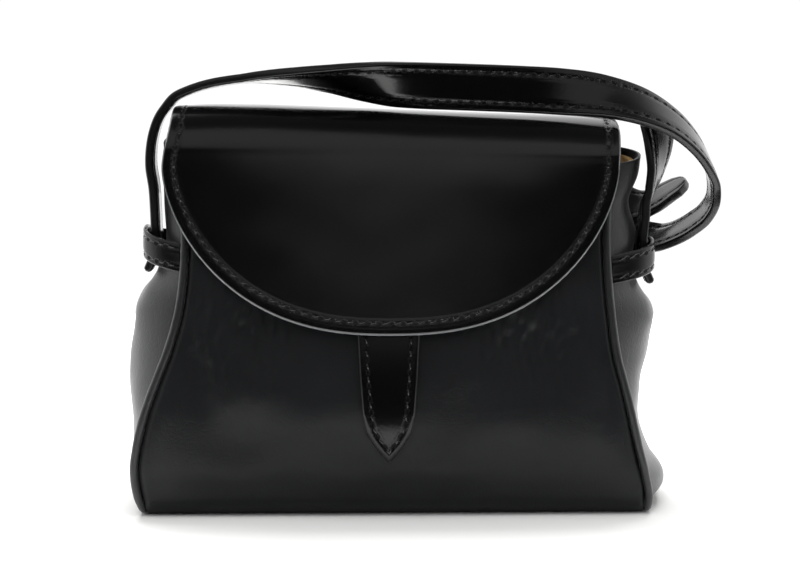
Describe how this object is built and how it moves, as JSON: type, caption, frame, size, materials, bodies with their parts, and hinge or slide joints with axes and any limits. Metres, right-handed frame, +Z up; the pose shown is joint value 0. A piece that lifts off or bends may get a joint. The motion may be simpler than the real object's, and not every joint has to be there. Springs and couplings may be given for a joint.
{
  "type": "flap bag",
  "caption": "Small leather flap bag with flared sides, soft gussets, a half-round flap, a pointed tab and a long shoulder strap.",
  "frame": {"origin": "middle of the flat base's underside, on the surface that the bag stands on", "axes": "+Z up, the flap and the front panel face -Y, +X to the right as seen from the front"},
  "size_m": [0.2893, 0.1286, 0.2158],
  "materials": {
    "body_leather": "semi-gloss, soft grain",
    "glossy_leather": "polished, smooth",
    "lining_cloth": "matt woven",
    "buckle_brass": "satin"
  },
  "bodies": {
    "root": {"body_panel": "body_leather", "gusset_left": "body_leather", "gusset_right": "body_leather", "piping_left": "body_leather", "piping_right": "body_leather", "flap": "glossy_leather", "closure_tab": "glossy_leather", "side_band_left": "body_leather", "side_band_right": "body_leather", "strap_long": "glossy_leather", "strap_short": "glossy_leather", "strap_buckle": "buckle_brass", "lining": "lining_cloth"}
  },
  "joints": []
}
